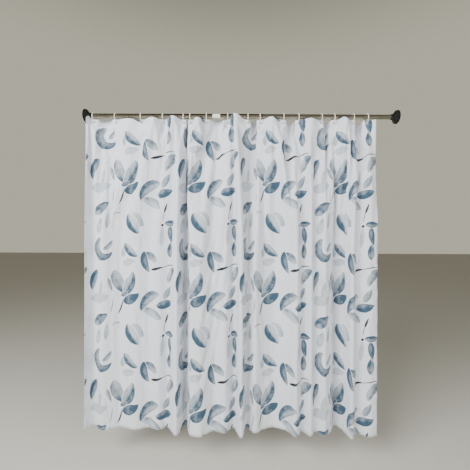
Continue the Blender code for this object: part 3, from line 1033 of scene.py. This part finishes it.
def lay_uv(mesh, u, v, settings):
    """A UV map that follows the flat cloth: 0 to 1 along its width, and down from 1."""
    layer = mesh.uv_layers.new(name="Cloth")
    corners = np.zeros(len(mesh.loops), np.int32)
    mesh.loops.foreach_get("vertex_index", corners)
    flat = np.stack([u.ravel() / settings.width, 1 - v.ravel() / settings.drop], 1)
    layer.data.foreach_set("uv", flat[corners].astype(np.float32).ravel())


def sheet_object(name, points, u, v, settings, sides, hole_row=None):
    """A sheet of cloth from a grid of points, with its thickness. sides are its two materials."""
    mesh = grid_mesh(name, points)
    lay_uv(mesh, u, v, settings)
    if hole_row is not None:
        cut_holes(mesh, points.shape[1], hole_row, settings)
    obj = added(name, mesh)
    mesh.shade_smooth()
    take_material(obj, bpy.data.materials[sides[0]])
    obj.data.materials.append(bpy.data.materials[sides[1]])
    only(obj)
    solid = obj.modifiers.new("Thickness", "SOLIDIFY")
    solid.thickness = settings.thickness
    solid.offset = 0.0
    solid.material_offset = 1
    solid.material_offset_rim = 1
    bpy.ops.object.modifier_apply(modifier=solid.name)
    return obj


def crumple_with_rod(piece):
    """Gives the piece a mesh of its own."""
    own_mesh(piece)


# ---------------------------------------------------------------------------------------------
# Operators: one for each piece or group of like pieces, and one for the stage.


class CURTAIN_OT_hang_cloth(bpy.types.Operator):
    """Gathers the printed cloth on its eyelets and lets it settle"""

    bl_idname = "curtain.hang_cloth"
    bl_label = "Hang the cloth"

    def execute(self, context):
        settings = context.scene.curtain_cloth
        cloth_material("Printed cloth", 0.0)
        cloth_material("Cloth back", 0.62)
        drape = DRAPE["cloth"] = Drape(*gathered_sheet(settings), settings)
        u, v = np.meshgrid(drape.alongs, drape.downs)
        row = row_of(drape.downs, settings.edge_to_eyelet)
        sides = ("Printed cloth", "Cloth back")
        cloth = sheet_object("curtain_cloth", drape.points, u, v, settings, sides, row)
        attach(cloth, "curtain", ["curtain_sheet"])
        crumple_with_rod(cloth)
        return {"FINISHED"}


class CURTAIN_OT_sew_hems(bpy.types.Operator):
    """Doubles the cloth along its four edges, at the back"""

    bl_idname = "curtain.sew_hems"
    bl_label = "Sew the hems"

    def execute(self, context):
        settings = context.scene.curtain_cloth
        for name, edge, depth in (
            ("header_hem", "top", settings.header),
            ("bottom_hem", "bottom", settings.hem),
            ("left_hem", "left", settings.side_hem),
            ("right_hem", "right", settings.side_hem),
        ):
            hem = self.band(settings, name, edge, depth)
            attach(hem, "curtain")
            crumple_with_rod(hem)
        return {"FINISHED"}

    @staticmethod
    def band(settings, name, edge, depth):
        """A strip that rolls over the edge and lies against the cloth's back for its depth."""
        drape = DRAPE["cloth"]
        layer = settings.thickness
        across = edge in ("top", "bottom")
        lift = (2.4 if across else 1.2) * layer
        if edge == "top":
            rows = [v for v in drape.downs if v < depth - 0.003] + [depth]
        else:
            rows = list(np.linspace(0, depth, 6 if across else 4))
        # Each line of the strip is (distance in from the edge, distance off the cloth).
        strip = [(0.0010, -1.1 * layer), (0.0001, -1.0 * layer), (-0.0006, -0.3 * layer)]
        strip += [(-0.0007, 0.5 * lift), (-0.0004, lift)]
        strip += [(max(row, 0.0002), lift) for row in rows]
        path = drape.alongs if across else drape.downs
        points, us, vs = [], [], []
        for inwards, off in strip:
            here = np.full(len(path), inwards)
            if edge == "bottom":
                here = settings.drop - here
            elif edge == "right":
                here = settings.width - here
            u, v = (path, here) if across else (here, path)
            held_u, held_v = np.clip(u, 0, settings.width), np.clip(v, 0, settings.drop)
            place, _ = drape.at(held_u, held_v, off)
            mirrored, _ = drape.at(2 * held_u - u, 2 * held_v - v, off)
            points.append(2 * place - mirrored)
            us.append(2 * held_u - u if across else (2 * (edge == "right") * settings.width - u))
            vs.append((2 * (edge == "bottom") * settings.drop - v) if across else v)
        sides = ("Cloth back", "Printed cloth")
        row = None
        if edge == "top":
            row = len(strip) - len(rows) + row_of(rows, settings.edge_to_eyelet)
        return sheet_object(name, np.array(points), np.array(us), np.array(vs), settings, sides, row)


class CURTAIN_OT_sew_stitches(bpy.types.Operator):
    """Runs a line of thread stitches along each hem, on both sides of the cloth"""

    bl_idname = "curtain.sew_stitches"
    bl_label = "Sew the stitches"

    def execute(self, context):
        settings = context.scene.curtain_cloth
        drape = DRAPE["cloth"]
        inset = 0.003
        lines = (
            ("along", settings.header - inset),
            ("along", settings.drop - settings.hem + inset),
            ("down", settings.side_hem - inset),
            ("down", settings.width - settings.side_hem + inset),
        )
        front = -0.5 * settings.thickness
        back = 2.9 * settings.thickness
        points, faces = [], []
        for way, offset in lines:
            span = settings.width if way == "along" else settings.drop
            starts = np.arange(inset, span - inset, settings.stitch_pitch)
            for side, lift in ((-1, front), (1, back)):
                heads, tails = starts, starts + settings.stitch
                fixed = np.full(len(starts), offset)
                ends = []
                for place in (heads, tails):
                    u, v = (place, fixed) if way == "along" else (fixed, place)
                    ends.append(drape.at(u, v, lift))
                (first, normal), (last, _) = ends
                self.add_threads(points, faces, first, last, normal * side)
        mesh = bpy.data.meshes.new("hem_stitches")
        mesh.from_pydata([tuple(p) for p in points], [], faces)
        mesh.shade_smooth()
        stitches = added("hem_stitches", mesh)
        take_material(stitches, thread_material())
        attach(stitches, "curtain")
        crumple_with_rod(stitches)
        return {"FINISHED"}

    @staticmethod
    def add_threads(points, faces, first, last, outwards):
        """Thin beads of thread, each a long octahedron from one hole to the next."""
        width, height = 0.00035, 0.00045
        centre = (first + last) / 2
        along = last - first
        along /= np.linalg.norm(along, axis=1, keepdims=True)
        sideways = np.cross(along, outwards)
        for i in range(len(first)):
            base = len(points)
            points.extend(
                (
                    first[i],
                    last[i],
                    centre[i] + sideways[i] * width,
                    centre[i] + outwards[i] * height,
                    centre[i] - sideways[i] * width,
                    centre[i] - outwards[i] * height * 0.4,
                )
            )
            for a, b in ((2, 3), (3, 4), (4, 5), (5, 2)):
                faces.append((base, base + a, base + b))
                faces.append((base + 1, base + b, base + a))


# A ring's section, and where its mouth is from the top, at the back. The beads on its two ends
# take up ENDS_TURN.
RING_SECTION_SIDES = 12
RING_MOUTH_TURN = math.radians(60)
ENDS_TURN = 0.26


class CURTAIN_OT_make_rings(bpy.types.Operator):
    """Models a snap ring and hangs a copy at each ring's place"""

    bl_idname = "curtain.make_rings"
    bl_label = "Make the rings"

    def execute(self, context):
        settings = context.scene.curtain_fittings
        material = moulded_material("Ring plastic", settings.ring_colour, 0.32, coat=0.3)
        low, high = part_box(RINGS[0])
        outside = (high.z - low.z) / 2
        centre_line = outside - 0.0025
        half_gap = settings.ring_mouth / 2 / centre_line
        start_clean()
        bpy.ops.mesh.primitive_circle_add(
            vertices=RING_SECTION_SIDES,
            radius=settings.ring_wire,
            fill_type="NGON",
            location=(0, 0, centre_line),
        )
        ring = context.object
        bpy.ops.object.transform_apply(location=True, rotation=True, scale=True)
        bpy.ops.object.mode_set(mode="EDIT")
        bpy.ops.mesh.select_all(action="SELECT")
        bpy.ops.transform.rotate(
            value=math.pi / 2, orient_axis="X", center_override=(0, 0, centre_line)
        )
        bpy.ops.transform.resize(value=(1.0, 1.0, 1.12), center_override=(0, 0, centre_line))
        turn = 2 * math.pi - 2 * half_gap - ENDS_TURN
        bpy.ops.mesh.spin(steps=56, angle=turn, center=(0, 0, 0), axis=(1, 0, 0))
        bpy.ops.object.mode_set(mode="OBJECT")
        self.add_ends(ring)
        self.turn_mouth(ring)
        settle(ring, "ring_pattern", material, 50)
        for name, hanger in zip(RINGS, HANGERS):
            made = copied(ring, name.replace("curtain", "snap"), middle(name))
            attach(made, hanger, [name])
        bpy.data.objects.remove(ring)
        return {"FINISHED"}

    @staticmethod
    def add_ends(ring):
        """A rounded bead on each end of the wire, one a little wider than the other."""
        mesh = ring.data
        only(ring)
        bpy.ops.object.mode_set(mode="EDIT")
        for which, wide in ((0, 1.28), (-1, 1.12)):
            bm = bmesh.from_edit_mesh(mesh)
            ends = [f for f in bm.faces if len(f.verts) == RING_SECTION_SIDES]
            for face in bm.faces:
                face.select = False
            end = ends[which]
            spot = end.calc_center_median()
            away = Vector((0, -spot.z, spot.y)).normalized()
            other = [f for f in bm.faces if len(f.verts) == 4 and any(v in end.verts for v in f.verts)]
            inner = sum((f.calc_center_median() for f in other), Vector()) / len(other)
            if (spot - inner).dot(away) < 0:
                away = -away
            end.select = True
            bm.select_flush_mode()
            bmesh.update_edit_mesh(mesh)
            for step, scale in ((0.0006, wide), (0.0012, 1.0), (0.0007, 0.72), (0.0004, 0.55)):
                spot = spot + away * step
                bpy.ops.mesh.extrude_region_move(TRANSFORM_OT_translate={"value": away * step})
                bpy.ops.transform.resize(value=(scale,) * 3, center_override=spot)
        bpy.ops.object.mode_set(mode="OBJECT")

    @staticmethod
    def turn_mouth(ring):
        """Turns the ring about X until its mouth is where the frame's is."""
        places = sorted(math.atan2(v.co.y, v.co.z) for v in ring.data.vertices)
        gaps = [(b - a, a, b) for a, b in zip(places, places[1:] + [places[0] + 2 * math.pi])]
        _, a, b = max(gaps)
        ring.data.transform(Matrix.Rotation((a + b) / 2 - RING_MOUTH_TURN, 4, "X"))


class CURTAIN_OT_make_eyelets(bpy.types.Operator):
    """Turns a two-sided eyelet and sets a copy in each hole of the header"""

    bl_idname = "curtain.make_eyelets"
    bl_label = "Make the eyelets"

    def execute(self, context):
        settings = context.scene.curtain_fittings
        cloth = context.scene.curtain_cloth
        material = moulded_material("Eyelet plastic", settings.eyelet_colour, 0.38)
        low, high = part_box(EYELETS[0])
        rim = (high.z - low.z) / 2
        bore = rim - 0.0019
        front, back = -1.35 * cloth.thickness, 3.4 * cloth.thickness
        lip = 0.0009
        section = [
            (front, bore + 0.0009),
            (front, rim - 0.0002),
            (front - lip * 0.5, rim),
            (front - lip, rim - 0.0006),
            (front - lip, bore + 0.0004),
            (front - lip * 0.6, bore),
            (back + lip * 0.6, bore),
            (back + lip, bore + 0.0004),
            (back + lip, rim - 0.0006),
            (back + lip * 0.5, rim),
            (back, rim - 0.0002),
            (back, bore + 0.0009),
        ]
        eyelet = lathe(rounded(section, 0.0002, 1), 40)
        bpy.ops.object.select_all(action="DESELECT")
        eyelet.data.transform(Matrix.Rotation(math.pi / 2, 4, "Z"))
        settle(eyelet, "eyelet_pattern", material, 50)
        for name, hanger in zip(EYELETS, HANGERS):
            made = copied(eyelet, name.replace("eyelet", "grommet"), middle(name))
            attach(made, hanger, [name])
        bpy.data.objects.remove(eyelet)
        return {"FINISHED"}


class CURTAIN_OT_make_tubes(bpy.types.Operator):
    """Turns the two telescoping tubes, with a rolled lip on the outer one's mouth"""

    bl_idname = "curtain.make_tubes"
    bl_label = "Make the tubes"

    def execute(self, context):
        settings = context.scene.curtain_fittings
        material = steel_material("Polished steel", settings.steel_colour)
        for name, piece, body, rolled in (
            ("outer_tube", "outer_rod_tube", "rod_fixed", True),
            ("inner_tube", "inner_rod_tube", "rod_sliding", False),
        ):
            low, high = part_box(name)
            radius, bore = high.z, high.z - settings.tube_wall
            section = [(low.x, bore), (low.x, radius), (high.x, radius), (high.x, bore)]
            if rolled:
                low_lip = radius - 0.0003
                section[2:3] = [(high.x - 0.004, radius), (high.x - 0.003, low_lip), (high.x, low_lip)]
            tube = lathe(rounded(section, 0.0003, 2), 64)
            settle(tube, piece, material, 40)
            attach(tube, body, [name])
        return {"FINISHED"}


class CURTAIN_OT_make_trim(bpy.types.Operator):
    """Turns the ribbed collar at the outer tube's mouth"""

    bl_idname = "curtain.make_trim"
    bl_label = "Make the collar"

    def execute(self, context):
        settings = context.scene.curtain_fittings
        low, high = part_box("tube_trim")
        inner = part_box("inner_tube")[1].z + 0.0003
        radius = high.z
        width = high.x - low.x
        section = [(low.x, inner), (low.x, radius)]
        for step in (0.3, 0.5, 0.7):
            section += [
                (low.x + width * (step - 0.06), radius),
                (low.x + width * step, radius - 0.0004),
                (low.x + width * (step + 0.06), radius),
            ]
        section += [(high.x, radius - 0.0003), (high.x, inner)]
        collar = lathe(rounded(section, 0.00025, 2), 48)
        material = moulded_material("Collar plastic", settings.cap_colour, 0.4)
        settle(collar, "tube_collar", material, 40)
        attach(collar, frame_body("tube_trim"), ["tube_trim"])
        return {"FINISHED"}


def frame_body(node_name):
    """The body that a node of the frame rides on."""
    bodies = frame["record"]["behaviour"]["bodies"]
    return next(body for body, nodes in bodies.items() if node_name in nodes)


class CURTAIN_OT_make_wall_ends(bpy.types.Operator):
    """Models the ribbed end caps and the grooved rubber pads that press on the walls"""

    bl_idname = "curtain.make_wall_ends"
    bl_label = "Make the wall ends"

    def execute(self, context):
        settings = context.scene.curtain_fittings
        plastic = moulded_material("Cap plastic", settings.cap_colour, 0.42)
        rubber = rubber_material(settings.rubber_colour)
        for side, inwards in (("left", 1), ("right", -1)):
            self.make_cap(side, inwards, plastic)
            self.make_pad(side, inwards, rubber)
        return {"FINISHED"}

    @staticmethod
    def make_cap(side, inwards, material):
        node_name = f"{side}_end_cap"
        low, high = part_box(node_name)
        back = low.x if inwards > 0 else high.x
        depth = high.x - low.x
        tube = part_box("outer_tube" if side == "left" else "inner_tube")[1].z
        bore = tube + 0.0003
        flange = high.z
        stations = [
            (0.004, 0.5 * bore),
            (0.0, 0.5 * bore),
            (0.0, flange - 0.0008),
            (0.0008, flange),
            (0.0034, flange),
            (0.0048, flange - 0.0014),
            (0.0066, 0.80 * flange),
            (0.0092, 0.70 * flange),
            (0.0118, 0.63 * flange),
            (0.0148, 0.58 * flange),
            (0.0160, bore + 0.0052),
            (0.0172, bore + 0.0030),
            (depth - 0.0022, bore + 0.0030),
            (depth - 0.0016, bore + 0.0024),
            (depth - 0.0006, bore + 0.0024),
            (depth, bore + 0.0018),
            (depth, bore),
            (0.004, bore),
        ]
        section = [(back + inwards * x, radius) for x, radius in stations]
        cap = lathe(rounded(section, 0.0005, 2), 72)
        only(cap)
        bpy.ops.object.mode_set(mode="EDIT")
        bm = bmesh.from_edit_mesh(cap.data)
        for face in bm.faces:
            spot = face.calc_center_median()
            into = (spot.x - back) * inwards
            radius = math.hypot(spot.y, spot.z)
            turn = round((math.atan2(spot.z, spot.y) / (2 * math.pi)) * 72 - 0.5) % 3
            face.select = 0.019 < into < depth - 0.003 and radius > bore + 0.002 and turn == 0
        bmesh.update_edit_mesh(cap.data)
        bpy.ops.mesh.inset(thickness=0.0001, depth=0.0006, use_individual=True)
        bpy.ops.object.mode_set(mode="OBJECT")
        settle(cap, f"{side}_wall_cap", material, 30)
        attach(cap, frame_body(node_name), [node_name])

    @staticmethod
    def make_pad(side, inwards, material):
        node_name = f"{side}_wall_pad"
        low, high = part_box(node_name)
        wall = low.x if inwards > 0 else high.x
        depth = high.x - low.x
        radius = high.z
        stations = [(0.0016, 0.006), (0.0, 0.008)]
        groove = 0.012
        while groove < radius - 0.006:
            for into, out in ((0.0, 0.0), (0.0009, 0.0006), (0.0009, 0.0016), (0.0, 0.0022)):
                stations.append((into, groove + out))
            groove += 0.006
        stations += [
            (0.0, radius - 0.0016),
            (0.0016, radius),
            (depth * 0.45, radius),
            (depth * 0.52, radius - 0.0007),
            (depth * 0.60, radius),
            (depth - 0.0018, radius - 0.0002),
            (depth, radius - 0.0024),
            (depth, 0.010),
        ]
        section = [(wall + inwards * x, r) for x, r in stations]
        pad = lathe(section, 72, closed=False)
        settle(pad, f"{side}_rubber_pad", material, 40)
        attach(pad, frame_body(node_name), [node_name])


# How far the label reaches round the tube, and where its middle is from the top, at the front.
LABEL_TURN = math.radians(100)
LABEL_MIDDLE = math.radians(100)


class CURTAIN_OT_make_label(bpy.types.Operator):
    """Lays the blank paper label round the front of the outer tube"""

    bl_idname = "curtain.make_label"
    bl_label = "Make the label"

    def execute(self, context):
        settings = context.scene.curtain_fittings
        low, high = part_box("rod_label")
        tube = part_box("outer_tube")[1].z
        radius = tube + 0.00032
        start_clean()
        size_x, arc = high.x - low.x, radius * LABEL_TURN
        bpy.ops.mesh.primitive_grid_add(x_subdivisions=10, y_subdivisions=28, size=1)
        label = context.object
        label.scale = (size_x, arc, 1)
        bpy.ops.object.transform_apply(location=False, rotation=False, scale=True)
        bpy.ops.object.mode_set(mode="EDIT")
        bm = bmesh.from_edit_mesh(label.data)
        for vert in bm.verts:
            past = (abs(vert.co.x) - size_x / 2, abs(vert.co.y) - arc / 2)
            vert.select = max(abs(way) for way in past) < 1e-6
        bm.select_flush_mode()
        bmesh.update_edit_mesh(label.data)
        bpy.ops.mesh.bevel(offset=0.0018, segments=4, affect="VERTICES")
        bpy.ops.object.mode_set(mode="OBJECT")
        centre_x = (low.x + high.x) / 2
        for vert in label.data.vertices:
            turn = LABEL_MIDDLE + vert.co.y / radius
            to_end, to_top = vert.co.x / size_x * 2, vert.co.y / arc * 2
            curl = 0.0010 * max(0.0, to_end - 0.86) / 0.14 * max(0.0, to_top - 0.5)
            reach = radius + curl
            vert.co = (centre_x + vert.co.x, -reach * math.sin(turn), reach * math.cos(turn))
        only(label)
        solid = label.modifiers.new("Paper", "SOLIDIFY")
        solid.thickness = 0.00022
        solid.offset = 0.0
        bpy.ops.object.modifier_apply(modifier=solid.name)
        settle(label, "blank_label", paper_material(settings.paper_colour), 40)
        attach(label, frame_body("rod_label"), ["rod_label"])
        return {"FINISHED"}


class CURTAIN_OT_finish_lock(bpy.types.Operator):
    """Gives the twist lock inside the rod its plastic"""

    bl_idname = "curtain.finish_lock"
    bl_label = "Finish the twist lock"

    def execute(self, context):
        settings = context.scene.curtain_fittings
        material = moulded_material("Lock plastic", settings.lock_colour, 0.45)
        for name in ("lock_core", "lock_cam"):
            take_material(frame["nodes"][name], material)
        return {"FINISHED"}


class CURTAIN_OT_set_stage(bpy.types.Operator):
    """Sets a plain floor, soft light and the camera"""

    bl_idname = "curtain.set_stage"
    bl_label = "Set the stage"

    def execute(self, context):
        settings = context.scene.curtain_stage
        start_clean()
        eye_x, eye_z = settings.eye
        bpy.ops.mesh.primitive_plane_add(size=40, location=(eye_x, 0, settings.floor))
        floor = context.object
        floor.name = "studio_floor"
        material, tree, shader = new_material("Studio floor")
        fill(tree, shader, {"Base Color": opaque(linear(214, 212, 204)), "Roughness": 0.9})
        take_material(floor, material)

        world = bpy.data.worlds.new("Studio")
        world.use_nodes = True
        tree = world.node_tree
        towards = node(tree, "ShaderNodeTexCoord").outputs["Generated"]
        height = node(tree, "ShaderNodeSeparateXYZ", {0: towards}).outputs["Z"]
        ceiling = opaque(linear(60, 56, 50))
        sky = mix(tree, ramp(tree, height, 0.45, 0.85), opaque(settings.backdrop), ceiling)
        fill(tree, tree.nodes["Background"], {"Color": sky, "Strength": 0.85})
        context.scene.world = world

        self.add_light("key_light", (-1.3, -2.7, 0.9), 2.2, 255)
        self.add_light("fill_light", (3.0, -2.4, 0.2), 2.4, 64)
        camera = bpy.data.cameras.new("camera")
        camera.sensor_width = 36
        camera.lens = camera.sensor_width * settings.distance / settings.view_width
        stand = added("camera", camera)
        stand.location = (eye_x, -settings.distance, eye_z)
        stand.rotation_euler = (math.pi / 2, settings.roll, 0)
        context.scene.camera = stand
        return {"FINISHED"}

    @staticmethod
    def add_light(name, place, size, watts):
        """A soft square lamp that looks at the curtain's middle."""
        lamp = bpy.data.lights.new(name, "AREA")
        lamp.shape = "SQUARE"
        lamp.size = size
        lamp.energy = watts
        light = added(name, lamp)
        light.location = place
        target = Vector((RING_X[len(RING_X) // 2], 0, -0.8))
        light.visible_glossy = False
        light.rotation_euler = (target - light.location).to_track_quat("-Z", "Y").to_euler()


class CURTAIN_PT_panel(bpy.types.Panel):
    """Lists the curtain's settings and the steps that build it"""

    bl_idname = "CURTAIN_PT_panel"
    bl_label = "Shower curtain"
    bl_space_type = "VIEW_3D"
    bl_region_type = "UI"
    bl_category = "Curtain"

    def draw(self, context):
        for group in GROUPS:
            box = self.layout.box()
            settings = getattr(context.scene, group)
            for name in settings.__annotations__:
                box.prop(settings, name)
        for operator in OPERATORS:
            self.layout.operator(operator.bl_idname)


OPERATORS = (
    CURTAIN_OT_set_stage,
    CURTAIN_OT_make_tubes,
    CURTAIN_OT_make_trim,
    CURTAIN_OT_make_wall_ends,
    CURTAIN_OT_make_label,
    CURTAIN_OT_finish_lock,
    CURTAIN_OT_make_rings,
    CURTAIN_OT_make_eyelets,
    CURTAIN_OT_hang_cloth,
    CURTAIN_OT_sew_hems,
    CURTAIN_OT_sew_stitches,
)


def register():
    for kind in (*GROUPS.values(), *OPERATORS, CURTAIN_PT_panel):
        bpy.utils.register_class(kind)
    for name, kind in GROUPS.items():
        setattr(bpy.types.Scene, name, bpy.props.PointerProperty(type=kind))


def unregister():
    for name in GROUPS:
        delattr(bpy.types.Scene, name)
    for kind in reversed((*GROUPS.values(), *OPERATORS, CURTAIN_PT_panel)):
        bpy.utils.unregister_class(kind)


def main():
    register()
    for operator in OPERATORS:
        module, name = operator.bl_idname.split(".")
        getattr(getattr(bpy.ops, module), name)()


if __name__ == "__main__":
    main()
